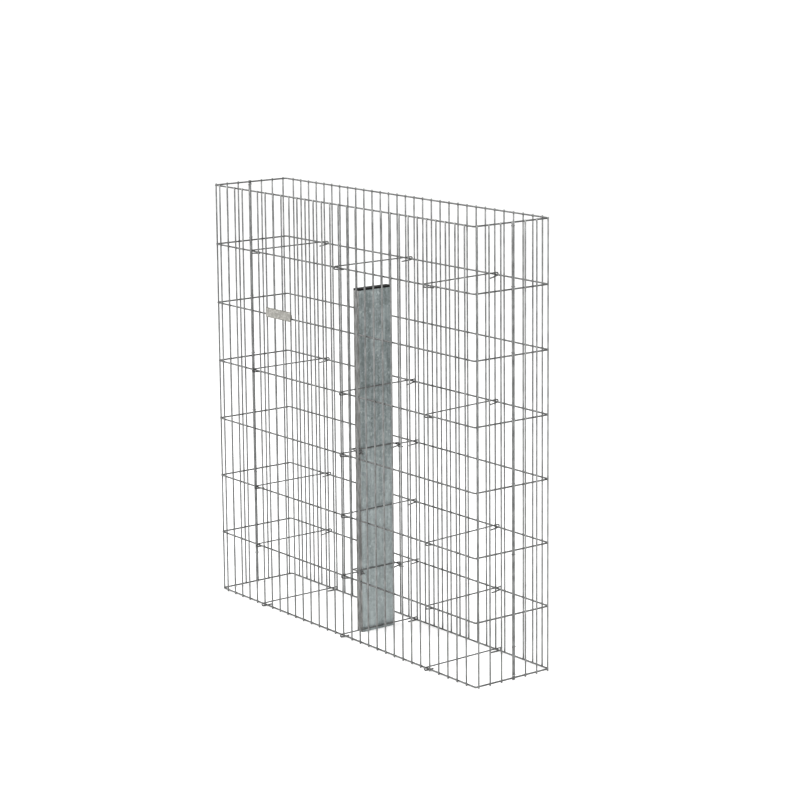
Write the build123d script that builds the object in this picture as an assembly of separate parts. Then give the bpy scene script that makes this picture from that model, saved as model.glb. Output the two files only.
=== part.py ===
from build123d import *
import math
import os

# Wire gabion wall basket with an inner post. Millimetres, +Z up.
# X runs along the wall, Y through its depth with the front at -Y, and Z=0 is the ground.

# Mesh
wall_length = 1150.0        # end to end, centre lines of the level wires
wall_depth = 242.5          # front to back, centre lines of the level wires
level_gap = 167.6           # height between two level wires
level_count = 8
pitch = 37.5                # spacing of the upright wires
first_upright = 29.9        # from the left corner to the first upright of a long side
bar = 4.0                   # side of the square bar that stands for a round mesh wire
tip = 3.8                   # an upright runs on past the last level wire by this
bend_radius = 4.5           # centre line radius of a level wire's bend at a corner
seam_gap = 0.7              # clear gap between the two edge wires of a seam
seat = 0.3                  # gap left between pieces that rest on each other

# Ties
tie_flats = 3.3             # across the flats of the six-sided bar that stands for a round tie wire
hook_slack = 0.2            # left under a level wire inside its hook, opposite the seat
hook_reach = 12.0           # from the level wire out to the hook's outermost centre line
inner_hook_slack = 1.95     # the same two for a hook round the post's loop
inner_hook_reach = 6.4
loop_gap = 0.65             # from the post's loop up to the wires hooked over it
tail_length = 30.0
inner_tail_length = 24.0
tail_splay = 12.0           # degrees that a tail falls away from its shank
hook_facets = 5

# Post
post_width = 112.0
post_thickness = 25.0
post_wall = 1.6
post_corner = 2.5           # outer radius of the tube's corners
post_height = 942.0
cap_lip = 5.0               # the plastic cap's rim above the tube
cap_plug = 12.0             # and the part of it pushed into the tube
cap_easing = 1.0            # bevel round the cap's top
post_x = -2.5
loop_standoff = 9.8         # from the post's narrow side to the loop's cross run
loop_overrun = 3.0          # the loop's ends run on past the last hook by this
post_levels = (4, 6)

# Seam clips: level, height above that level wire
clip_bar = 2.0
clip_corner = 0.8
clip_opening = 1.2
clip_places = ((0, -8.0), (1, 7.0), (2, 7.0), (3, 7.0), (4, 7.0), (5, -9.0), (6, -84.0), (7, 9.0))

# Label plate
plate_height = 27.0
plate_sheet = 1.0
plate_level = 2
plate_rise = 7.0            # the plate's middle above its level wire
plate_first = 6             # the uprights that the plate's ends fold round, from the left
plate_last = 9
tab_height = 10.0
tab_length = 4.0

half_length = wall_length / 2
half_depth = wall_depth / 2
tie_half = tie_flats / 2
tie_corner = tie_flats / math.sqrt(3)
tie_over = bar / 2 + seat + tie_half
hook_radius = (bar + tie_flats + seat + hook_slack) / 2
inner_hook_radius = (2 * tie_flats + loop_gap + inner_hook_slack) / 2
loop_over = tie_over - tie_flats - loop_gap
wire_above_ground = 2 * hook_radius - tie_over + tie_half
wall_height = (level_count - 1) * level_gap
upright_foot = wire_above_ground - tip
upright_top = wire_above_ground + wall_height + tip
edge_upright = (seam_gap + bar) / 2
split = bend_radius + 0.1
long_uprights = int((wall_length - first_upright - split - bar / 2) / pitch) + 1
end_uprights = int((half_depth - edge_upright - split - bar / 2) / pitch) + 1
front_places = [-half_length + first_upright + i * pitch for i in range(long_uprights)]
back_places = [-x for x in front_places]


def level_z(number):
    """Height of a level wire's centre line; level 0 is the top one."""
    return wire_above_ground + (level_count - 1 - number) * level_gap


def block(x0, x1, y0, y1, z0, z1):
    """Box between two corners."""
    return Pos((x0 + x1) / 2, (y0 + y1) / 2, (z0 + z1) / 2) * Box(abs(x1 - x0), abs(y1 - y0), abs(z1 - z0))


def upright(x, y):
    return block(x - bar / 2, x + bar / 2, y - bar / 2, y + bar / 2, upright_foot, upright_top)


def pen_outline(points, width):
    """Closed outline of a polyline drawn with a pen of this width, mitred at the corners."""
    left = []
    right = []
    for i, (x, y) in enumerate(points):
        steps = [(a, b) for a, b in zip(points[max(i - 1, 0):i + 1], points[max(i, 1):i + 2])]
        angles = [math.atan2(b[1] - a[1], b[0] - a[0]) for a, b in steps]
        turn = math.remainder(angles[-1] - angles[0], 2 * math.pi)
        normal = angles[0] + turn / 2 + math.pi / 2
        half = width / 2 / math.cos(turn / 2)
        left.append((x + half * math.cos(normal), y + half * math.sin(normal)))
        right.append((x - half * math.cos(normal), y - half * math.sin(normal)))
    return left + right[::-1]


def strip(points, width, z0, z1):
    """Flat path drawn in plan with a pen of this width and raised from z0 to z1."""
    face = make_face(Polyline(*pen_outline(points, width), close=True))
    return Pos(0, 0, z0) * extrude(face, amount=z1 - z0, dir=(0, 0, 1))


def bend(centre, start, facets, sweep_angle=90):
    """Points on a quarter bend in plan, from the start angle in degrees."""
    steps = [math.radians(start + sweep_angle * i / facets) for i in range(facets + 1)]
    return [(centre[0] + bend_radius * math.cos(a), centre[1] + bend_radius * math.sin(a)) for a in steps]


def long_side():
    """Front mesh in its place: level wires with their bends, and uprights on the outside."""
    x = half_length - bend_radius
    y = -half_depth + bend_radius
    path = [(-half_length, -half_depth + split)] + bend((-x, y), 180, 2) + bend((x, y), 270, 2)
    path.append((half_length, -half_depth + split))
    bars = []
    for number in range(level_count):
        z = level_z(number)
        bars.append(strip(path, bar, z - bar / 2, z + bar / 2))
    bars += [upright(place, -half_depth - bar) for place in front_places]
    return bars[0].fuse(*bars[1:])


def half_end(side):
    """Front half of an end, on the right for side 1 and on the left for side -1."""
    x = side * half_length
    y0, y1 = -half_depth + split, -edge_upright
    bars = []
    for number in range(level_count):
        z = level_z(number)
        bars.append(block(x - bar / 2, x + bar / 2, y0, y1, z - bar / 2, z + bar / 2))
    for i in range(end_uprights):
        bars.append(upright(x + side * bar, -edge_upright - i * pitch))
    return bars[0].fuse(*bars[1:])


def turned(solid):
    """The same piece turned half a turn about Z."""
    return Rot(0, 0, 180) * solid


def wire(points):
    """Six-sided wire along a path of points in space, flats up and down where it runs level."""
    path = Polyline(*points)
    along = path.tangent_at(0)
    across = along.cross(Vector(0, 0, 1))
    start = Plane(origin=points[0], x_dir=across, z_dir=along)
    section = start * RegularPolygon(tie_half, 6, major_radius=False)
    return sweep(section, path=path, transition=Transition.RIGHT)


def hook(at, outward, radius, reach, tail, splay):
    """Hook from its shank round a cross wire at 'at', as distance along the tie and height."""
    centre = at + outward * (reach - radius)
    points = []
    for i in range(hook_facets + 1):
        a = math.pi * i / hook_facets
        points.append((centre + outward * radius * math.sin(a), tie_over - radius + radius * math.cos(a)))
    fall = math.radians(splay)
    s, z = points[-1]
    points.append((s - outward * tail * math.cos(fall), z - tail * math.sin(fall)))
    return points


def tie(front, back, z, inner=(False, False), splay=tail_splay):
    """Wire with a hook at each end, seated on two cross wires at height z, from front to back in plan."""
    run = math.hypot(back[0] - front[0], back[1] - front[1])
    outer_hook = hook_radius, hook_reach, tail_length
    inner_hook = inner_hook_radius, inner_hook_reach, inner_tail_length
    near, far = (inner_hook if end else outer_hook for end in inner)
    flat = hook(0, -1, *near, splay)[::-1] + hook(run, 1, *far, splay)
    dx = (back[0] - front[0]) / run
    dy = (back[1] - front[1]) / run
    return wire([(front[0] + s * dx, front[1] + s * dy, z + h) for s, h in flat])


def clear_of(places, x, other_x, push=0):
    """The wanted place of a tie's end, moved off the nearest upright where its leaning hook would touch."""
    lean = (x - other_x) / wall_depth * (hook_reach + tie_half)
    nearest = min(places, key=lambda place: abs(place - x - lean / 2))
    room = bar / 2 + seat + tie_corner + abs(lean) / 2
    offset = x + lean / 2 - nearest
    if abs(offset) >= room:
        return x
    return nearest + math.copysign(room, push or offset) - lean / 2


def tie_ends(x_front, x_back, push=0):
    """Plan places of a tie's two ends on the front and the back level wire."""
    front = clear_of(front_places, x_front, x_back, push)
    back = clear_of(back_places, x_back, x_front, push)
    return (front, -half_depth), (back, half_depth)


os.makedirs("parts", exist_ok=True)
parts = {}

# Welded mesh: two alike panels, the back one turned half a turn
front_mesh = long_side()
right_half = half_end(1)
left_half = half_end(-1)
parts["front_mesh"] = front_mesh
parts["back_mesh"] = turned(front_mesh)
parts["front_right_return"] = right_half
parts["front_left_return"] = left_half
parts["back_left_return"] = turned(right_half)
parts["back_right_return"] = turned(left_half)

# Post: an open tube with rounded corners
outline = RectangleRounded(post_thickness, post_width, post_corner)
hollow = RectangleRounded(
    post_thickness - 2 * post_wall, post_width - 2 * post_wall, max(post_corner - post_wall, 0.4)
)
parts["post"] = Pos(post_x, 0, 0) * extrude(outline - hollow, amount=post_height)

# Cap: a rim as wide as the tube that rests on its top, and a hollow plug inside it
rim_z = post_height + seat
lip = Pos(post_x, 0, rim_z) * extrude(outline, amount=cap_lip)
lip = chamfer(lip.edges().group_by(Axis.Z)[-1], cap_easing)
plug_wide = (post_thickness - 2 * (post_wall + seat), post_width - 2 * (post_wall + seat))
plug = Rectangle(*plug_wide) - Rectangle(plug_wide[0] - 2 * post_wall, plug_wide[1] - 2 * post_wall)
parts["post_cap"] = lip + Pos(post_x, 0, rim_z) * extrude(plug, amount=-cap_plug)
near_face = post_x + post_thickness / 2
post_side = near_face + seat + tie_corner

# Tie wires at the two ends of the wall: level, distances from the wall's middle at the front and at the back
end_ties = {
    "left": (
        (1, -383.5, -385.6), (3, -387.9, -388.0), (5, -388.2, -388.0), (6, -386.0, -387.9), (7, -362.5, -364.8)
    ),
    "right": (
        (1, 385.7, 364.2), (3, 386.7, 362.4), (5, 387.0, 365.9), (6, 387.0, 373.3), (7, 378.7, 371.4)
    ),
}
for place, rows in end_ties.items():
    for number, x_front, x_back in rows:
        splay = 0 if number == level_count - 1 else tail_splay
        parts[f"tie_level_{number}_{place}"] = tie(*tie_ends(x_front, x_back), level_z(number), splay=splay)

# Tie wires at mid-length: the top one passes over the post, the others beside its near face
x_ends = {1: (post_x + 7.9, post_x + 4.2), 3: (post_side + 9.8, post_side + 1.0)}
x_ends[5] = (post_side + 9.4, post_side + 1.9)
x_ends[7] = (post_side + 0.6, post_side + 1.0)
for number, (x_front, x_back) in x_ends.items():
    splay = 0 if number == level_count - 1 else tail_splay
    parts[f"tie_level_{number}_centre"] = tie(*tie_ends(x_front, x_back, 1), level_z(number), splay=splay)

# Holding wires of the post: a loop round three sides, a hooked bar across the fourth, two short ties
cross_run = post_width / 2 + loop_standoff
far_side = post_x - post_thickness / 2 - seat - tie_corner
beside_bar = post_side + 2 * tie_corner + seat
front_x = clear_of(front_places, beside_bar, beside_bar, 1)
back_x = clear_of(back_places, beside_bar, beside_bar, 1)
loop_end = max(front_x, back_x) + tie_corner + loop_overrun
for number in post_levels:
    z = level_z(number)
    plan = [(loop_end, -cross_run), (far_side, -cross_run), (far_side, cross_run), (loop_end, cross_run)]
    parts[f"post_loop_level_{number}"] = wire([(x, y, z + loop_over) for x, y in plan])
    parts[f"post_bar_level_{number}"] = tie((post_side, -cross_run), (post_side, cross_run), z, (True, True))
    front_tie = tie((front_x, -half_depth), (front_x, -cross_run), z, (False, True))
    back_tie = tie((back_x, cross_run), (back_x, half_depth), z, (True, False))
    parts[f"post_tie_front_level_{number}"] = front_tie
    parts[f"post_tie_back_level_{number}"] = back_tie


def clip(x, z):
    """Open ring round the two edge wires of a seam; its opening faces into the basket."""
    a = bar / 2 + seat + clip_bar / 2
    b = seam_gap / 2 + bar + seat + clip_bar / 2
    c = clip_corner
    half = [(-a, clip_opening / 2), (-a, b - c), (-a + c, b), (a - c, b), (a, b - c)]
    path = half + [(px, -py) for px, py in half[::-1]]
    side = math.copysign(1, x)
    return strip([(x + side * px, py) for px, py in path], clip_bar, z - clip_bar / 2, z + clip_bar / 2)


# Seam clips
for name, side in (("right", 1), ("left", -1)):
    clips = [clip(side * (half_length + bar), level_z(number) + rise) for number, rise in clip_places]
    parts[f"seam_clips_{name}"] = Compound(children=clips)

# Label plate: a flat sheet in front of the uprights, with a tab folded round the upright at each end
plate_front = -half_depth - 1.5 * bar - seat - plate_sheet / 2
plate_back = -half_depth - bar / 2 + seat + plate_sheet / 2
fold = bar / 2 + seat + plate_sheet / 2
x0 = front_places[plate_first] - fold
x1 = front_places[plate_last] + fold
plate_z = level_z(plate_level) + plate_rise
plate_z0, plate_z1 = plate_z - plate_height / 2, plate_z + plate_height / 2
sheet = strip([(x0, plate_front), (x1, plate_front)], plate_sheet, plate_z0, plate_z1)
tab_foot = level_z(plate_level) + bar / 2 + seat
tabs = []
for x, way in ((x0, 1), (x1, -1)):
    middle = x + way * fold
    path = [(middle, plate_front), (x, plate_front), (x, plate_back), (x + way * tab_length, plate_back)]
    tabs.append(strip(path, plate_sheet, tab_foot, tab_foot + tab_height))
parts["label_plate"] = sheet.fuse(*tabs)

for name, solid in parts.items():
    export_step(solid, f"parts/{name}.step")
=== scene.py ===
# %% [markdown]
# # An empty wire gabion basket
#
# The real object is a garden wall basket before its stones go in: two bent panels of welded
# wire mesh, wires that hold them apart, and a flat hollow post inside. The CAD model gives every
# piece its place. This file gives each piece its true round section, its welds and its zinc.
# It starts by loading the CAD model, which stays where it is.

# %% Load the imported model
import math

import bpy
import numpy as np
from mathutils import Matrix, Vector


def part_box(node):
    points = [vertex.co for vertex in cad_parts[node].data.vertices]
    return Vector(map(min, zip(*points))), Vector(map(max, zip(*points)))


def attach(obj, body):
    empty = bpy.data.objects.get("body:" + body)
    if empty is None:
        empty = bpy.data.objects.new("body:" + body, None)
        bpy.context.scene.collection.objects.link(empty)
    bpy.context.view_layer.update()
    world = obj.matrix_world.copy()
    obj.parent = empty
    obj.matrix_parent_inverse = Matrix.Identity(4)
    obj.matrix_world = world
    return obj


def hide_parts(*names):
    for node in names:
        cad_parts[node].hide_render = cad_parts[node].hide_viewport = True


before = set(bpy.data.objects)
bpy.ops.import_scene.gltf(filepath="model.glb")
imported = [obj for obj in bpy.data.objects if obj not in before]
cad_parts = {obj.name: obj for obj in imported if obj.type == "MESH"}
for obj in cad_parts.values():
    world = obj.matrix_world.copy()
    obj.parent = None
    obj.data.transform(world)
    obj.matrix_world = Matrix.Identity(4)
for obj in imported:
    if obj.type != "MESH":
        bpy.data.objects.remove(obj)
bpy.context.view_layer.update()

# %% [markdown]
# ## The sizes that the pieces share
#
# Every length is in metres. The level wires are numbered from the top, 0 to 7, as on the CAD
# model. The uprights stand on the outside of the level wires. Wires are drawn round, 4.5 mm
# thick for the mesh and 3.7 mm for the ties, which are thicknesses estimated from the picture.
# The CAD ties are six-sided bars, so half their width is kept too: it leads from the outside of
# a CAD node to its centre line.

# %% Shared sizes
MM = 0.001
half_length = 575 * MM
half_depth = 121.25 * MM
pitch = 37.5 * MM
first_upright = 29.9 * MM
uprights_per_side = 30
uprights_per_half_end = 4
edge_upright = 2.35 * MM
level_gap = 167.6 * MM
levels = 8
lowest_wire = 5.5 * MM
tip = 3.8 * MM
mesh_radius = 2.25 * MM
weld_offset = 4.0 * MM
bend_radius = 4.5 * MM
tie_radius = 1.85 * MM
cad_tie_half = 1.65 * MM
tube_corner = 2.5 * MM
tube_wall = 1.6 * MM
random_start = 7
random = np.random.default_rng(random_start)


def level_height(number):
    """Height of level wire number, counted from the top."""
    return lowest_wire + (levels - 1 - np.asarray(number)) * level_gap


front_places = -half_length + first_upright + pitch * np.arange(uprights_per_side)
print("level wires at", np.round(level_height(np.arange(levels)), 3))

# %% [markdown]
# ## From arrays to a piece
#
# A piece is a block of points and a few blocks of faces, all numpy arrays. One helper puts them
# into a mesh with foreach_set, which is quick and needs no loop over vertices. It also hangs the
# piece on the root, gives it its finish, and hides the CAD nodes that it stands for.

# %% Put arrays into a mesh


def make_piece(name, points, faces, finish, replaced=()):
    """Mesh object from points (any shape, 3 last) and a list of face blocks (faces, corners)."""
    points = np.asarray(points, float).reshape(-1, 3)
    corners = np.concatenate([block.ravel() for block in faces])
    sizes = np.concatenate([np.full(len(block), block.shape[1]) for block in faces])
    starts = np.cumsum(sizes) - sizes
    mesh = bpy.data.meshes.new(name)
    mesh.vertices.add(len(points))
    mesh.vertices.foreach_set("co", points.ravel())
    mesh.loops.add(len(corners))
    mesh.loops.foreach_set("vertex_index", corners.astype(np.int32))
    mesh.polygons.add(len(sizes))
    mesh.polygons.foreach_set("loop_start", starts.astype(np.int32))
    mesh.polygons.foreach_set("use_smooth", np.ones(len(sizes), bool))
    mesh.update(calc_edges=True)
    mesh.validate()
    mesh.materials.append(finish)
    piece = bpy.data.objects.new(name, mesh)
    bpy.context.scene.collection.objects.link(piece)
    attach(piece, "root")
    if replaced:
        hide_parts(*replaced)
    print(f"{name}: {len(points)} points, {len(sizes)} faces")
    return piece


# %% [markdown]
# ## Shader maths that reads like algebra
#
# Each finish is a procedural material. To keep its maths readable, one small class wraps a
# node's output and overloads the operators, so that `1 - rust * 0.4` adds two Math nodes. Every
# other node comes from the one method `add`: its type, its settings, then its sockets.

# %% A socket that does arithmetic


class Field:
    """An output socket of a material's node tree that takes part in Python expressions."""

    def __init__(self, finish, socket):
        self.finish = finish
        self.socket = socket

    def math(self, operation, *values):
        return self.finish.add("ShaderNodeMath", {"operation": operation}, dict(enumerate(values)))

    def __add__(self, other):
        return self.math("ADD", self, other)

    def __radd__(self, other):
        return self.math("ADD", other, self)

    def __sub__(self, other):
        return self.math("SUBTRACT", self, other)

    def __rsub__(self, other):
        return self.math("SUBTRACT", other, self)

    def __mul__(self, other):
        return self.math("MULTIPLY", self, other)

    def __rmul__(self, other):
        return self.math("MULTIPLY", other, self)

    def absolute(self):
        return self.math("ABSOLUTE", self)

    def step(self, low, high):
        """0 below low, 1 above high, smooth between."""
        inputs = {"Value": self, "From Min": low, "From Max": high}
        return self.finish.add("ShaderNodeMapRange", {"interpolation_type": "SMOOTHSTEP"}, inputs)


class Finish:
    """A Principled material and the one method that adds nodes to it."""

    def __init__(self, name):
        self.material = bpy.data.materials.new(name)
        self.material.use_nodes = True
        self.tree = self.material.node_tree
        self.shader = next(n for n in self.tree.nodes if n.type == "BSDF_PRINCIPLED")
        self.place = self.add("ShaderNodeTexCoord", output="Object")

    def put(self, socket, value):
        if isinstance(value, Field):
            self.tree.links.new(value.socket, socket)
        else:
            socket.default_value = value

    def add(self, kind, settings=None, inputs=None, output=0):
        node = self.tree.nodes.new(kind)
        for key, value in (settings or {}).items():
            setattr(node, key, value)
        for key, value in (inputs or {}).items():
            self.put(node.inputs[key], value)
        return Field(self, node.outputs[output])

    def set(self, **values):
        """Principled sockets by name, with underscores for spaces."""
        for key, value in values.items():
            self.put(self.shader.inputs[key.replace("_", " ")], value)

    def vector(self, operation, first, second):
        return self.add("ShaderNodeVectorMath", {"operation": operation}, {0: first, 1: second})

    def axis(self, number):
        """One coordinate of the point on the piece: 0 is X, 1 is Y, 2 is Z."""
        return self.add("ShaderNodeSeparateXYZ", {}, {0: self.place}, output=number)

    def noise(self, scale, detail=3.0, stretch=(1, 1, 1)):
        """Cloudy value round 0.5 on the piece's own coordinates, stretched along an axis."""
        place = self.vector("MULTIPLY", self.place, stretch)
        inputs = {"Vector": place, "Scale": scale, "Detail": detail}
        return self.add("ShaderNodeTexNoise", {}, inputs)

    def blend(self, amount, first, second):
        """Colour between two colours."""
        settings = {"data_type": "RGBA"}
        return self.add("ShaderNodeMix", settings, {0: amount, 6: first, 7: second}, output=2)

    def relief(self, height, strength, distance):
        """Bump normal of a height field."""
        inputs = {"Height": height, "Strength": strength, "Distance": distance}
        return self.add("ShaderNodeBump", {}, inputs, output="Normal")


def grey(level, tint=(1.0, 1.0, 1.0)):
    """Linear colour of one brightness with a slight tint."""
    return (level * tint[0], level * tint[1], level * tint[2], 1.0)


# %% [markdown]
# ## Zinc on drawn wire
#
# The wires are galvanised: dull grey metal with cloudy lighter patches where the zinc has
# oxidised, and a fine drawn grain. Noise at two scales mixes a darker and a lighter zinc, the
# lighter patches are rougher and less metallic, and a very fine noise makes the grain as bump.

# %% Finishes of the wires


def wire_zinc(name, dark, light):
    """Galvanised wire between a dark and a light brightness."""
    finish = Finish(name)
    clouds = finish.noise(38.0, 4.0).step(0.36, 0.66)
    flecks = finish.noise(520.0, 2.0).step(0.35, 0.72)
    oxide = clouds * 0.65 + flecks * 0.35
    tint = (0.985, 1.0, 0.985)
    finish.set(
        Base_Color=finish.blend(oxide, grey(dark, tint), grey(light, tint)),
        Metallic=0.85 - oxide * 0.35,
        Roughness=0.34 + oxide * 0.22,
        Normal=finish.relief(flecks + finish.noise(1500.0, 1.0), 0.25, 0.0003),
    )
    return finish.material


# Painted light: both panels are the same wire, and the back panel's uprights are made lighter than
# the front's.
upright_zinc = {
    "front": wire_zinc("front_upright_zinc", 0.16, 0.32),
    "back": wire_zinc("back_upright_zinc_painted_lighter", 0.19, 0.37),
}
# Painted shade: the level wires are the same zinc wire as the uprights, made darker here to stand
# in for the shade on horizontal wires.
level_zinc = wire_zinc("level_zinc", 0.085, 0.175)
tie_zinc = wire_zinc("tie_zinc", 0.085, 0.18)
print("wire finishes:", upright_zinc["front"].name, level_zinc.name, tie_zinc.name)

# %% [markdown]
# ## A round wire is a circle carried along a path
#
# Every wire here is bent in one plane or nearly so. That makes the frame of its circle simple:
# take one direction that is square to the bend, make it square to the path, and the second
# direction is the cross product. Many wires are worked out in one go, because the paths are one
# block of numbers: wires by points by three.

# %% Round wires


def unit(vectors):
    return vectors / np.linalg.norm(vectors, axis=-1, keepdims=True)


def tubes(paths, radius, across, sides=12, cut=0.78):
    """Points and faces of round wires.

    A ring's point is path + radius * (cos a * side + sin a * up), where side is 'across' made
    square to the path. The last rings are a little smaller, which is the burr-free cut end.
    """
    paths = np.asarray(paths, float)
    wires, count, _ = paths.shape
    along = unit(np.gradient(paths, axis=1))
    side = np.broadcast_to(np.asarray(across, float), paths.shape)
    side = unit(side - (side * along).sum(-1, keepdims=True) * along)
    up = np.cross(along, side)
    angle = 2 * np.pi * np.arange(sides) / sides
    size = np.full(count, radius)
    size[[0, -1]] *= cut
    ring = np.cos(angle)[:, None] * side[:, :, None] + np.sin(angle)[:, None] * up[:, :, None]
    points = paths[:, :, None] + size[:, None, None] * ring
    index = np.arange(wires * count * sides).reshape(wires, count, sides)
    here, ahead = index[:, :-1], index[:, 1:]
    quads = np.stack([here, np.roll(here, -1, 2), np.roll(ahead, -1, 2), ahead], -1)
    return points, [quads.reshape(-1, 4), index[:, 0, ::-1], index[:, -1]]


def with_cuts(path, length=0.4 * MM):
    """The path with one more point near each end, where the cut's chamfer starts."""
    first = path[..., :1, :] + unit(path[..., 1:2, :] - path[..., :1, :]) * length
    last = path[..., -1:, :] + unit(path[..., -2:-1, :] - path[..., -1:, :]) * length
    parts = [path[..., :1, :], first, path[..., 1:-1, :], last, path[..., -1:, :]]
    return np.concatenate(parts, -2)


# %% [markdown]
# ## The two mesh panels
#
# A real basket of this kind is two alike panels, each bent at two corners: a long side and half
# of each end. So the eight level wires of a panel are continuous round its corners. The back
# panel is the front one turned half a turn. The uprights are welded to the outside. Their places
# vary by a fraction of a millimetre, as machine-laid wires do.

# %% Level wires


def arc(centre, start, end, radius, count=9):
    """Points on a level arc from one angle to another, in degrees."""
    angle = np.radians(np.linspace(start, end, count))
    return np.stack([centre[0] + radius * np.cos(angle), centre[1] + radius * np.sin(angle)], -1)


def panel_outline():
    """Plan of one level wire: seam, corner, long side, corner, seam."""
    seam_y, end_points, run_points = -0.8 * MM, 12, 62
    inner_x, inner_y = half_length - bend_radius, -half_depth + bend_radius
    left = arc((-inner_x, inner_y), 180, 270, bend_radius)
    right = arc((inner_x, inner_y), 270, 360, bend_radius)
    side_y = np.linspace(seam_y, inner_y, end_points)[:-1]
    run_x = np.linspace(-inner_x, inner_x, run_points)[1:-1]
    first = np.stack([np.full(len(side_y), -half_length), side_y], -1)
    middle = np.stack([run_x, np.full(len(run_x), -half_depth)], -1)
    return np.concatenate([first, left, middle, right, first[::-1] * (-1, 1)])


plan = panel_outline()
level_paths = np.zeros((levels, len(plan), 3))
level_paths[..., :2] = plan
level_paths[..., 2] = level_height(np.arange(levels))[:, None]
turn = {"front": np.array([1, 1, 1]), "back": np.array([-1, -1, 1])}
panel_nodes = {
    "front": ("front_mesh", "front_left_return", "front_right_return"),
    "back": ("back_mesh", "back_left_return", "back_right_return"),
}
for side, sign in turn.items():
    points, faces = tubes(with_cuts(level_paths) * sign, mesh_radius, (0, 0, 1))
    make_piece(f"{side}_level_wires", points, faces, level_zinc, panel_nodes[side])

# %% [markdown]
# ## The uprights
#
# Each panel has thirty uprights on its long side and four on each half end, from just below the
# lowest level wire to just above the top one. Both panels draw their own small shifts.

# %% Uprights


def upright_feet():
    """Plan places of a panel's uprights: the long side, then the two half ends."""
    largest_shift = 0.25
    shift = random.uniform(-largest_shift, largest_shift, uprights_per_side) * MM
    outside_y = np.full(uprights_per_side, -half_depth - weld_offset)
    long_side = np.stack([front_places + shift, outside_y], -1)
    end_y = -edge_upright - pitch * np.arange(uprights_per_half_end)
    right = np.stack([np.full(uprights_per_half_end, half_length + weld_offset), end_y], -1)
    return np.concatenate([long_side, right, right * (-1, 1)])


upright_rows = 34
foot_height = lowest_wire - tip
top_height = lowest_wire + (levels - 1) * level_gap + tip
panel_feet = {}
for side, sign in turn.items():
    feet = upright_feet()
    panel_feet[side] = feet
    paths = np.zeros((len(feet), upright_rows, 3))
    paths[..., :2] = feet[:, None]
    paths[..., 2] = np.linspace(foot_height, top_height, upright_rows)
    points, faces = tubes(with_cuts(paths) * sign, mesh_radius, (1, 0, 0))
    finish, nodes = upright_zinc[side], panel_nodes[side]
    make_piece(f"{side}_uprights", points, faces, finish, nodes)

# %% [markdown]
# ## Weld beads
#
# Where two wires cross they are resistance welded, and a little metal is squeezed out round the
# joint. Each bead is a small flattened ball between the two wires. There are hundreds, so each
# has only a few dozen faces, and all of a panel's beads are one piece.

# %% Beads at every crossing


def balls(centres, radii, sides=8, rings=3):
    """Ellipsoids: centre + radii * (sin v cos u, cos v, sin v sin u), with closed poles."""
    u = 2 * np.pi * np.arange(sides) / sides
    v = np.pi * np.arange(1, rings + 1)[:, None] / (rings + 1)
    body = np.stack([np.sin(v) * np.cos(u), np.cos(v) * np.ones_like(u), np.sin(v) * np.sin(u)], -1)
    shape = np.concatenate([body.reshape(-1, 3), [[0, 1, 0], [0, -1, 0]]])
    points = centres[:, None] + radii[:, None] * shape
    grid = np.arange(rings * sides).reshape(rings, sides)
    step = (np.arange(len(centres)) * len(shape))[:, None, None]
    quads = np.stack([grid[:-1], np.roll(grid[:-1], -1, 1), np.roll(grid[1:], -1, 1), grid[1:]], -1)
    north = np.stack([np.full(sides, rings * sides), np.roll(grid[0], -1), grid[0]], -1)
    south = np.stack([np.full(sides, rings * sides + 1), grid[-1], np.roll(grid[-1], -1)], -1)
    blocks = [quads.reshape(-1, 4), np.concatenate([north, south])]
    return points, [(block + step).reshape(-1, block.shape[1]) for block in blocks]


def bead_places(feet):
    """Centres and radii of a panel's beads, between each upright and each level wire."""
    inward = np.where(np.abs(feet[:, :1]) > half_length, (1.0, 0.0), (0.0, 1.0))
    middle = feet - inward * np.sign(feet) * weld_offset / 2
    centres = np.zeros((len(feet), levels, 3))
    centres[..., :2] = middle[:, None]
    centres[..., 2] = level_height(np.arange(levels))
    wide = random.uniform(2.2, 2.6, (len(feet), levels, 1)) * MM
    thin = random.uniform(1.1, 1.5, (len(feet), levels, 1)) * MM
    plain = np.concatenate([inward, np.zeros((len(feet), 1))], -1)[:, None]
    radii = wide + (thin - wide) * plain
    return centres.reshape(-1, 3), radii.reshape(-1, 3)


for side, sign in turn.items():
    centres, radii = bead_places(panel_feet[side])
    points, faces = balls(centres * sign, radii)
    finish, nodes = upright_zinc[side], panel_nodes[side]
    make_piece(f"{side}_weld_beads", points, faces, finish, nodes)

# %% [markdown]
# ## Hooked tie wires
#
# The ties are what makes the basket hold its width: a straight wire that passes over the front
# wire and the back wire, and turns back under each in a hook. They are bent by hand, so the
# hooks differ a little. The hook is an arc that stops short of a half turn, and the tail leaves
# it along its tangent, which makes the tail fall away from the shank.

# %% The path of a tie


def hook(cross, outward, over, radius, reach, fall, tail, sway):
    """Hook in the tie's own plane: distance along the tie, height, sideways.

    Distance = centre + outward * radius * sin a and height = over - radius + radius * cos a,
    for a from 0 to a half turn less the fall, then straight on for the length of the tail.
    """
    centre = cross + outward * (reach - radius)
    a = np.linspace(0, np.pi - fall, 16)
    bend = np.stack([centre + outward * radius * np.sin(a), over - radius + radius * np.cos(a)], -1)
    heading = np.array([-outward * np.cos(fall), -np.sin(fall)])
    run = bend[-1] + np.linspace(0, tail, 7)[1:, None] * heading
    flat = np.concatenate([bend, run])
    side = sway * np.linspace(0, 1, len(flat)) ** 2
    return np.concatenate([flat, side[:, None]], -1)


def tie_path(front, back, height, near, far):
    """Path in space of a wire between two cross wires, with a hook at each end."""
    start = np.array([*front, height])
    gap = np.array([*back, height]) - start
    run = np.linalg.norm(gap)
    along = gap / run
    across = np.array([-along[1], along[0], 0.0])
    flat = np.concatenate([hook(0.0, -1, **near)[::-1], hook(run, 1, **far)])
    up = np.array([0.0, 0.0, 1.0])
    path = start + flat[:, :1] * along + flat[:, 1:2] * up + flat[:, 2:] * across
    return with_cuts(path), across


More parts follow.
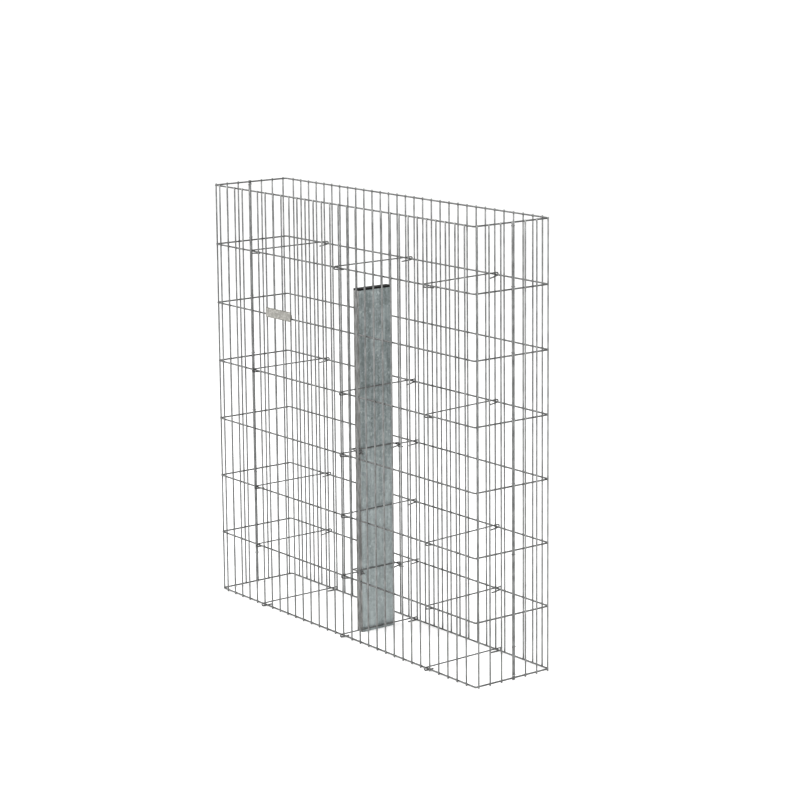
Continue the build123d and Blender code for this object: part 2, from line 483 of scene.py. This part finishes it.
# %% [markdown]
# ## One tie for each CAD node
#
# Where a tie's two ends lie along the wall is read from the vertices of its CAD node. Only the
# hooks are drawn at random, within a few millimetres.

# %% Make the ties in the places of their CAD nodes


def node_points(name):
    """All vertices of a CAD node."""
    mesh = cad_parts[name].data
    points = np.empty(len(mesh.vertices) * 3)
    mesh.vertices.foreach_get("co", points)
    return points.reshape(-1, 3)


def end_places(name, margin=16 * MM):
    """Plan places of a tie's two ends, read from its CAD node."""
    points = node_points(name)
    low, high = points[:, 1].min(), points[:, 1].max()
    front = points[points[:, 1] < low + margin, 0]
    back = points[points[:, 1] > high - margin, 0]
    return (front.min() + front.max()) / 2, (back.min() + back.max()) / 2


def hand_bent(lowest):
    """One hand-bent hook over a mesh wire; on the lowest level its tail lies flat on the ground."""
    fall = 0.0 if lowest else math.radians(random.uniform(2, 13))
    return {
        "over": 4.1 * MM,
        "radius": (3.85 if lowest else random.uniform(3.9, 4.5)) * MM,
        "reach": random.uniform(10.4, 11.6) * MM,
        "fall": fall,
        "tail": random.uniform(25, 32) * MM,
        "sway": random.uniform(-2.5, 2.5) * MM,
    }


tie_names = sorted(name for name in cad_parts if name.startswith("tie_level_"))
for name in tie_names:
    number = int(name.split("_")[2])
    x_front, x_back = end_places(name)
    hooks = [hand_bent(number == levels - 1) for _ in range(2)]
    ends = (x_front, -half_depth), (x_back, half_depth)
    path, across = tie_path(*ends, float(level_height(number)), *hooks)
    points, faces = tubes(path[None], tie_radius, across)
    make_piece(name + "_wire", points, faces, tie_zinc, [name])

# %% [markdown]
# ## The wires that hold the post
#
# At two levels the post is held in the middle of the basket. A wire loop stands round three of
# its sides, a hooked bar closes the fourth, and a short tie runs from the loop to the front wire
# and another to the back wire. They are the same hand-bent wire as the ties.

# %% Loops, bars and short ties


def rounded(corners, radius, count=8):
    """A path through corners, with a curve in place of each inner one.

    The curve from a to c is (1-t)^2 a + 2t(1-t) b + t^2 c, where b is the corner.
    """
    corners = np.asarray(corners, float)
    parts = [corners[:1]]
    t = np.linspace(0, 1, count)[:, None]
    for before, corner, after in zip(corners, corners[1:], corners[2:]):
        a = corner + unit(before - corner) * radius
        c = corner + unit(after - corner) * radius
        parts.append((1 - t) ** 2 * a + 2 * t * (1 - t) * corner + t ** 2 * c)
    parts.append(corners[-1:])
    return np.concatenate(parts)


def round_loop(shortest, longest):
    """A hook that closes round the post's loop, with a tail between two lengths in millimetres."""
    return {
        "over": 3.6 * MM,
        "radius": 4.3 * MM,
        "reach": 6.0 * MM,
        "fall": math.radians(random.uniform(8, 18)),
        "tail": random.uniform(shortest, longest) * MM,
        "sway": random.uniform(-0.8, 0.8) * MM,
    }


loop_bend = 5 * MM
bar_tail, short_tail = (18, 23), (12, 16)
post_levels = (4, 6)
for number in post_levels:
    height = float(level_height(number))
    node = f"post_loop_level_{number}"
    low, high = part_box(node)
    run_y = high[1] - cad_tie_half
    far_x = low[0] + cad_tie_half
    loop_plan = [(high[0], -run_y), (far_x, -run_y), (far_x, run_y), (high[0], run_y)]
    corners = [(x, y, height) for x, y in loop_plan]
    points, faces = tubes(with_cuts(rounded(corners, loop_bend))[None], tie_radius, (0, 0, 1))
    make_piece(f"post_loop_{number}_wire", points, faces, tie_zinc, [node])
    spans = {
        f"post_bar_level_{number}": (
            -run_y, run_y, round_loop(*bar_tail), round_loop(*bar_tail)
        ),
        f"post_tie_front_level_{number}": (
            -half_depth, -run_y, hand_bent(False), round_loop(*short_tail)
        ),
        f"post_tie_back_level_{number}": (
            run_y, half_depth, round_loop(*short_tail), hand_bent(False)
        ),
    }
    for name, (y_front, y_back, near, far) in spans.items():
        x = sum(end_places(name)) / 2
        path, across = tie_path((x, y_front), (x, y_back), height, near, far)
        points, faces = tubes(path[None], tie_radius, across)
        make_piece(name + "_wire", points, faces, tie_zinc, [name])

# %% [markdown]
# ## Seam clips
#
# In the middle of each end the two panels meet, edge wire beside edge wire, and small open rings
# hold them together. A ring is a rounded rectangle in plan with a gap that faces the inside.
# Each is pinched on by hand, so it sits a little askew.

# %% Finish of the rings


def clip_finish():
    """Dull zinc, and the lowest ring of each seam is brighter."""
    finish = Finish("clip_zinc")
    lowest_ring = 1 - finish.axis(2).step(25 * MM, 40 * MM)
    clouds = finish.noise(210.0, 3.0).step(0.35, 0.65)
    finish.set(
        Base_Color=finish.blend(lowest_ring * 0.75 + clouds * 0.25, grey(0.11), grey(0.62)),
        Metallic=0.7 - clouds * 0.3,
        Roughness=0.34 + clouds * 0.2,
        Normal=finish.relief(clouds, 0.2, 0.0003),
    )
    return finish.material


# %% [markdown]
# ## The rings in their places
#
# A ring's height is the middle of its CAD solid, found from the heights of the node's vertices.
# The wire is thin, so eight sides are enough.

# %% Open rings


def ring_paths(side, heights):
    """Ring paths from one side of the gap to the other.

    x = a |cos|^p and y = b |sin|^p, with the signs kept.
    """
    half_gap, ring_points = 0.16, 40
    angle = np.linspace(np.pi + half_gap, 3 * np.pi - half_gap, ring_points)
    a, b, power = 2.95 * MM, 5.0 * MM, 0.55
    x = a * np.sign(np.cos(angle)) * np.abs(np.cos(angle)) ** power
    y = b * np.sign(np.sin(angle)) * np.abs(np.sin(angle)) ** power
    steepest = 0.22
    tilt = random.uniform(-steepest, steepest, (len(heights), 1))
    z = heights[:, None] + tilt * y
    centre = side * (half_length + weld_offset)
    x = np.broadcast_to(centre + side * x, z.shape)
    return np.stack([x, np.broadcast_to(side * y, z.shape), z], -1)


clip_zinc = clip_finish()
ring_radius, ring_cut = 1.0 * MM, 0.2 * MM
for name, side in (("right", 1), ("left", -1)):
    node = f"seam_clips_{name}"
    heights = np.unique(node_points(node)[:, 2].round(4)).reshape(-1, 2).mean(1)
    paths = with_cuts(ring_paths(side, heights), ring_cut)
    points, faces = tubes(paths, ring_radius, (0, 0, 1), sides=8)
    make_piece(node + "_rings", points, faces, clip_zinc, [node])

# %% [markdown]
# ## Spangled zinc on the post
#
# The post is hot-dip galvanised strip: blue-grey, with the frost-flower pattern called spangle,
# long soft streaks from the rolling, and pale bloom where it has weathered. Voronoi cells give
# the spangle, each with its own brightness. Stretched noise gives the streaks. The colour is
# lighter towards the bottom. The narrow sides are a warmer, blotched grey, painted darker than
# the wide sides as shade, and a step on the distance from the middle plane tells them apart.

# %% Finish of the post


def post_zinc():
    finish = Finish("post_zinc")
    waves = {"Vector": finish.place, "Scale": 70.0}
    warp = finish.add("ShaderNodeTexNoise", {}, waves, output="Color")
    shove = finish.vector("MULTIPLY", warp, (0.012, 0.012, 0.012))
    cells = {"Vector": finish.vector("ADD", finish.place, shove), "Scale": 150.0}
    spangle_colour = finish.add("ShaderNodeTexVoronoi", {}, cells, output="Color")
    spangle = finish.add("ShaderNodeSeparateColor", {}, {0: spangle_colour})
    to_edge = {"feature": "DISTANCE_TO_EDGE"}
    edge = finish.add("ShaderNodeTexVoronoi", to_edge, cells).step(0.0, 0.08)
    streaks = finish.noise(120.0, 4.0, (1, 1, 0.05)).step(0.34, 0.66)
    bloom = finish.noise(24.0, 6.0, (1, 1, 0.45)).step(0.42, 0.72)
    specks = finish.noise(260.0, 3.0, (1, 1, 0.5)).step(0.6, 0.7)
    flakes = finish.noise(135.0, 2.0, (1, 1, 0.6)).step(0.63, 0.7)
    grit = finish.noise(900.0, 2.0)
    lower = 1 - finish.axis(2).step(0.15, 0.78)
    marks = specks * 0.3 + flakes * 0.45 + grit * 0.08
    amount = spangle * 0.34 + streaks * 0.3 + bloom * 0.18 + marks + lower * 0.46 - 0.19
    wide = finish.blend(amount, (0.15, 0.178, 0.178, 1), (0.45, 0.505, 0.505, 1))
    blotch = finish.noise(110.0, 5.0, (1, 1, 0.3)).step(0.38, 0.66)
    wear = blotch * 0.75 + specks * 0.3
    # Painted shade: the narrow sides are made darker than the wide sides, on top of their warmer,
    # blotched tone.
    narrow_blotched_and_shaded = finish.blend(wear, (0.118, 0.116, 0.11, 1), (0.36, 0.36, 0.35, 1))
    narrow = finish.axis(1).absolute().step(0.0542, 0.0556)
    finish.set(
        Base_Color=finish.blend(narrow, wide, narrow_blotched_and_shaded),
        Metallic=0.5 - bloom * 0.25,
        Roughness=0.4 + bloom * 0.16 + spangle * 0.1,
        Normal=finish.relief(edge * 0.3 + grit * 0.4 + spangle * 0.3, 0.2, 0.0004),
    )
    return finish.material


post_finish = post_zinc()
print("post finish:", post_finish.name)

# %% [markdown]
# ## The post
#
# A flat tube with its foot open on the ground. Its wall is a closed ribbon of rounded
# rectangles, up the outside, over the rim and down the inside, so one grid makes it all. The
# low ridge inside is the weld that such a tube usually has. The picture doesn't show it.

# %% Tube with rounded corners


def rounded_rectangle(width, depth, radius, per_side=14, per_corner=7):
    """Closed plan outline, anticlockwise, with the corners as arcs."""
    w, d = width / 2 - radius, depth / 2 - radius
    parts = []
    for i, (x, y) in enumerate([(w, d), (-w, d), (-w, -d), (w, -d)]):
        parts.append(arc((x, y), 90 * i, 90 * i + 90, radius, per_corner))
    outline = np.concatenate(parts)
    bends = outline.reshape(4, per_corner, 2)
    t = np.linspace(0, 1, per_side + 2)[1:-1, None]
    straights = [bends[i, -1] * (1 - t) + bends[(i + 1) % 4, 0] * t for i in range(4)]
    return np.concatenate([np.concatenate([bends[i], straights[i]]) for i in range(4)])


def post_shell(rows=40, wall=tube_wall, chamfer=0.35 * MM):
    """Grid of (ring, outline) points that goes up the outside, over the rim and down the inside."""
    (x0, y0, z0), (x1, y1, z1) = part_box("post")
    width, depth, corner = x1 - x0, y1 - y0, tube_corner
    inner_corner = 0.9 * MM
    outer = rounded_rectangle(width, depth, corner)
    inner = rounded_rectangle(width - 2 * wall, depth - 2 * wall, inner_corner)
    eased = rounded_rectangle(width - 2 * chamfer, depth - 2 * chamfer, corner - chamfer)
    up = np.linspace(z0 + chamfer, z1 - chamfer, rows)
    outside = [(outer, z) for z in up]
    inside = [(inner, z) for z in up[::-1]]
    rim = [(eased, z1)]
    foot = [(eased, z0)]
    profile = foot + outside + rim + inside
    grid = np.array([np.column_stack([plan, np.full(len(plan), z)]) for plan, z in profile])
    weld_y, weld_wide, weld_high = 18 * MM, 1.6 * MM, 0.7 * MM
    first_inside = len(foot + outside + rim)
    ridge = np.exp(-((grid[..., 1] - weld_y) / weld_wide) ** 2) * (grid[..., 0] < 0)
    grid[first_inside:, :, 0] += weld_high * ridge[first_inside:]
    dent = 0.12 * MM
    wave = np.sin(grid[..., 2] * 9.1 + 1.3) * np.sin(grid[..., 1] * 41.0 + 0.4)
    on_wide_side = np.abs(grid[..., 1]) < depth / 2 - corner
    grid[..., 0] -= np.sign(grid[..., 0]) * dent * (1 + wave) * on_wide_side
    return grid + ((x0 + x1) / 2, (y0 + y1) / 2, 0)


def closed_grid(grid):
    """Quads of a grid that is closed both ways, like the skin of a ring."""
    index = np.arange(grid.shape[0] * grid.shape[1]).reshape(grid.shape[:2])
    ahead = np.roll(index, -1, 0)
    quads = np.stack([index, np.roll(index, -1, 1), np.roll(ahead, -1, 1), ahead], -1)
    return [quads.reshape(-1, 4)]


shell = post_shell()
make_piece("post_tube", shell, closed_grid(shell), post_finish, ["post"])

# %% [markdown]
# ## The black cap on the post
#
# A plastic plug closes the top of the tube and keeps the rain out. Its rim is as wide as the
# tube, with eased edges and a slightly domed top. Each ring of the surface is a rounded
# rectangle at some inset from the rim, and a list of insets and heights draws the whole profile,
# from the plug's foot to the middle of the top.

# %% Cap finish and cap


def cap_plastic():
    finish = Finish("cap_plastic")
    dust = finish.noise(160.0, 4.0).step(0.5, 0.8)
    grain = finish.noise(1800.0, 1.0)
    finish.set(
        Base_Color=finish.blend(dust, (0.003, 0.003, 0.003, 1), (0.010, 0.010, 0.010, 1)),
        Roughness=0.6 + dust * 0.2,
        Specular_IOR_Level=0.15,
        Normal=finish.relief(grain, 0.2, 0.0002),
    )
    return finish.material


def cap_rings():
    """Rings of the cap; the top's height = rim + crown * (1 - (1 - inset / half)^2)."""
    (x0, y0, z0), (x1, y1, z1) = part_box("post_cap")
    width, depth, corner = x1 - x0, y1 - y0, tube_corner
    crown, ease, lip = 0.5 * MM, 0.9 * MM, 5.0 * MM
    plug_inset = 2.0 * MM
    insets = [plug_inset + 1 * MM, plug_inset, plug_inset, 0.3 * MM, 0.0, 0.0]
    heights = [z0, z0 + 1 * MM, z1 - lip, z1 - lip, z1 - lip + 0.3 * MM, z1 - crown - ease]
    turn_in = np.radians(np.linspace(0, 90, 6)[1:])
    insets += list(ease * (1 - np.cos(turn_in)))
    heights += list(z1 - crown - ease + ease * np.sin(turn_in))
    across = np.linspace(ease, width / 2 - 0.4 * MM, 8)[1:]
    insets += list(across)
    heights += list(z1 - crown + crown * (1 - (1 - across / across[-1]) ** 2))
    rings = []
    sharpest = 0.35 * MM
    for inset, z in zip(insets, heights):
        radius = max(corner - inset, sharpest)
        plan = rounded_rectangle(width - 2 * inset, depth - 2 * inset, radius)
        rings.append(np.column_stack([plan, np.full(len(plan), z)]))
    return np.array(rings) + ((x0 + x1) / 2, (y0 + y1) / 2, 0)


def capped_grid(grid):
    """Quads of rings, with a face over the first and over the last ring."""
    index = np.arange(grid.shape[0] * grid.shape[1]).reshape(grid.shape[:2])
    here, ahead = index[:-1], index[1:]
    quads = np.stack([here, np.roll(here, -1, 1), np.roll(ahead, -1, 1), ahead], -1)
    return [quads.reshape(-1, 4), index[:1, ::-1], index[-1:]]


rings = cap_rings()
make_piece("post_cap_plug", rings, capped_grid(rings), cap_plastic(), ["post_cap"])

# %% [markdown]
# ## The small plate on the front
#
# A thin pressed plate sits over three mesh gaps, with a tab folded round the upright at each
# end. It is bare: one plain field, raised a little above its rim. The relief is a height over a
# grid, and the Solidify modifier gives the sheet its thickness. The height is also stored on the
# points as an attribute, so that the finish can make the low rim darker than the raised field.

# %% Finish of the plate


def plate_metal():
    finish = Finish("plate_metal")
    raised = finish.add("ShaderNodeAttribute", {"attribute_name": "relief"}, output="Fac")
    brushed = finish.noise(300.0, 3.0, (0.12, 1, 1))
    stain = finish.noise(170.0, 4.0).step(0.4, 0.68)
    # The low rim is darker and the raised field lighter.
    amount = raised * 0.7 + stain * 0.3 + brushed * 0.12 - 0.12
    finish.set(
        Base_Color=finish.blend(amount, (0.085, 0.082, 0.066, 1), (0.62, 0.61, 0.57, 1)),
        Metallic=0.5,
        Roughness=0.34 + stain * 0.25,
        Normal=finish.relief(brushed + stain, 0.2, 0.0003),
    )
    return finish.material


plate_finish = plate_metal()
print("plate finish:", plate_finish.name)

# %% [markdown]
# ## The plate's sheet and tabs
#
# The sheet is an open grid across the front, and each tab is a short strip bent round an upright.
# All three are one piece, made solid together.

# %% Pressed plate with its tabs


def pad(u, v, half_width, half_height, slope=1.2 * MM):
    """1 inside a rectangle, 0 outside, with a soft slope at its edge."""
    inside = np.minimum(half_width - np.abs(u), half_height - np.abs(v))
    t = np.clip(inside / slope + 0.5, 0, 1)
    return t * t * (3 - 2 * t)


def plate_relief(u, v, width, height):
    """Height of the pressing from 0 to 1: one plain field inside the plate's rim."""
    rim, raised = 1.5 * MM, 0.6
    return raised * pad(u, v, width / 2 - rim, height / 2 - rim)


def open_grid(grid):
    """Quads of an open grid."""
    index = np.arange(grid.shape[0] * grid.shape[1]).reshape(grid.shape[:2])
    quads = np.stack([index[:-1, :-1], index[:-1, 1:], index[1:, 1:], index[1:, :-1]], -1)
    return quads.reshape(-1, 4)


def plate_parts():
    """The plate's grid and the two tab grids, each (rows, columns, 3), and the plate's relief."""
    (x0, y0, z0), (x1, y1, z1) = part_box("label_plate")
    columns, rows_up, press = 141, 40, 0.5 * MM
    width, height = x1 - x0 - 0.6 * MM, z1 - z0
    across = np.linspace(-width / 2, width / 2, columns)
    u, v = np.meshgrid(across, np.linspace(-height / 2, height / 2, rows_up))
    relief = plate_relief(u, v, width, height)
    middle_x, middle_z = (x0 + x1) / 2, (z0 + z1) / 2
    sheet = np.stack([u + middle_x, y0 + 0.8 * MM - press * relief, v + middle_z], -1)
    tabs = []
    tab_foot = float(level_height(2)) + 2.4 * MM
    for x, way in ((x0 + 0.3 * MM, 1), (x1 - 0.3 * MM, -1)):
        back = y1 - 0.4 * MM
        corners = [(x, y0 + 0.8 * MM, 0), (x, back, 0), (x + way * 6 * MM, back, 0)]
        line = rounded(corners, 1.2 * MM)
        rows = np.linspace(tab_foot, tab_foot + 9.5 * MM, 6)
        tab = np.repeat(line[None], len(rows), 0)
        tab[..., 2] = rows[:, None]
        tabs.append(tab)
    return [sheet] + tabs, relief


grids, relief = plate_parts()
starts = np.cumsum([0] + [grid.shape[0] * grid.shape[1] for grid in grids[:-1]])
points = np.concatenate([grid.reshape(-1, 3) for grid in grids])
faces = [open_grid(grid) + start for grid, start in zip(grids, starts)]
plate = make_piece("label_plate_sheet", points, faces, plate_finish, ["label_plate"])
stored = plate.data.attributes.new("relief", "FLOAT", "POINT")
tab_relief = np.full(len(points) - relief.size, 0.4)
stored.data.foreach_set("value", np.append(relief.ravel(), tab_relief))
thickness = plate.modifiers.new("sheet", "SOLIDIFY")
thickness.thickness = 0.5 * MM
thickness.offset = 0.0

# %% [markdown]
# ## Floor, light and background
#
# The basket stands on a plain pale floor in soft studio light. The world is white where the
# camera or a reflection looks at it, and dimmer as a source of light, so the metal shows a white
# room without being overlit. The floor gets the same help for the camera only, so that it is
# nearly white and still keeps a shadow.

# %% Floor


def floor_material():
    material = bpy.data.materials.new("floor_paint")
    material.use_nodes = True
    tree = material.node_tree
    shader = next(n for n in tree.nodes if n.type == "BSDF_PRINCIPLED")
    shader.inputs["Base Color"].default_value = (0.86, 0.86, 0.86, 1)
    shader.inputs["Roughness"].default_value = 0.9
    path = tree.nodes.new("ShaderNodeLightPath")
    glow = tree.nodes.new("ShaderNodeMath")
    glow.operation = "MULTIPLY"
    glow.inputs[1].default_value = 0.5
    tree.links.new(path.outputs["Is Camera Ray"], glow.inputs[0])
    shader.inputs["Emission Color"].default_value = (1, 1, 1, 1)
    tree.links.new(glow.outputs[0], shader.inputs["Emission Strength"])
    return material


reach = 40.0
floor_mesh = bpy.data.meshes.new("floor")
corners = [(-reach, -reach, 0), (reach, -reach, 0), (reach, reach, 0), (-reach, reach, 0)]
floor_mesh.from_pydata(corners, [], [(0, 1, 2, 3)])
floor_mesh.materials.append(floor_material())
floor = bpy.data.objects.new("floor", floor_mesh)
bpy.context.scene.collection.objects.link(floor)
print("floor:", 2 * reach, "m square")

# %% [markdown]
# ## World and lamps
#
# Two large soft lamps do the rest: a key from the front left and above, and a weaker one from
# the right, which keeps the end of the basket from going dark.

# %% World and lamps


def white_world(ambient):
    """White for the camera and for reflections, an even grey as a source of light."""
    world = bpy.data.worlds.new("studio")
    bpy.context.scene.world = world
    world.use_nodes = True
    tree = world.node_tree
    path = tree.nodes.new("ShaderNodeLightPath")
    seen = path.outputs["Is Camera Ray"]
    for name in ("Is Glossy Ray", "Is Transmission Ray"):
        total = tree.nodes.new("ShaderNodeMath")
        total.operation = "MAXIMUM"
        tree.links.new(seen, total.inputs[0])
        tree.links.new(path.outputs[name], total.inputs[1])
        seen = total.outputs[0]
    strength = tree.nodes.new("ShaderNodeMapRange")
    strength.inputs["To Min"].default_value = ambient
    strength.inputs["To Max"].default_value = 1.0
    tree.links.new(seen, strength.inputs["Value"])
    background = next(n for n in tree.nodes if n.type == "BACKGROUND")
    background.inputs["Color"].default_value = (1, 1, 1, 1)
    tree.links.new(strength.outputs[0], background.inputs["Strength"])


def lamp(name, place, size, power):
    """Square soft lamp that looks at the middle of the basket."""
    light = bpy.data.lights.new(name, "AREA")
    light.size = size
    light.energy = power
    holder = bpy.data.objects.new(name, light)
    place = Vector(place)
    aim = (Vector((0, 0, 0.6)) - place).to_track_quat("-Z", "Y")
    holder.matrix_world = Matrix.Translation(place) @ aim.to_matrix().to_4x4()
    bpy.context.scene.collection.objects.link(holder)


white_world(0.62)
lamp("key_light", (-2.6, -3.2, 4.2), 2.6, 260)
lamp("fill_light", (4.6, -0.5, 2.6), 3.2, 120)
print("lamps: key and fill")

# %% [markdown]
# ## The camera
#
# The photograph looks down a little on the front and the right end. The place, the angles and
# the focal length were found by fitting the mesh's own grid to the picture. The turn is measured
# from +Y towards +X, and the roll leans the picture by less than a degree. The photograph has more
# vertical shift than this camera. With all of it the basket would leave the frame in the views
# from other sides.

# %% Camera
scene = bpy.context.scene
camera_place = (5.159, -3.874, 1.995)
camera_turn, camera_tilt, camera_roll = -0.9350, -0.1681, -0.0123
focal_pixels, picture_pixels = 2443.35, 800
focal_share = focal_pixels / picture_pixels
sensor = 36.0
camera = bpy.data.cameras.new("camera")
camera.sensor_width = sensor
camera.lens = sensor * focal_share
camera.shift_x = 0.0584
camera.shift_y = -0.12
camera.clip_end = 200.0
level_share = math.cos(camera_tilt)
ahead = Vector((
    level_share * math.sin(camera_turn),
    level_share * math.cos(camera_turn),
    math.sin(camera_tilt),
))
right = Vector((math.cos(camera_turn), -math.sin(camera_turn), 0.0))
up = right.cross(ahead)
across = right * math.cos(camera_roll) + up * math.sin(camera_roll)
upward = up * math.cos(camera_roll) - right * math.sin(camera_roll)
turned = Matrix((across, upward, -ahead)).transposed().to_4x4()
holder = bpy.data.objects.new("camera", camera)
holder.matrix_world = Matrix.Translation(camera_place) @ turned
scene.collection.objects.link(holder)
scene.camera = holder
scene.view_settings.view_transform = "Standard"
print("camera lens", round(camera.lens, 1), "mm")
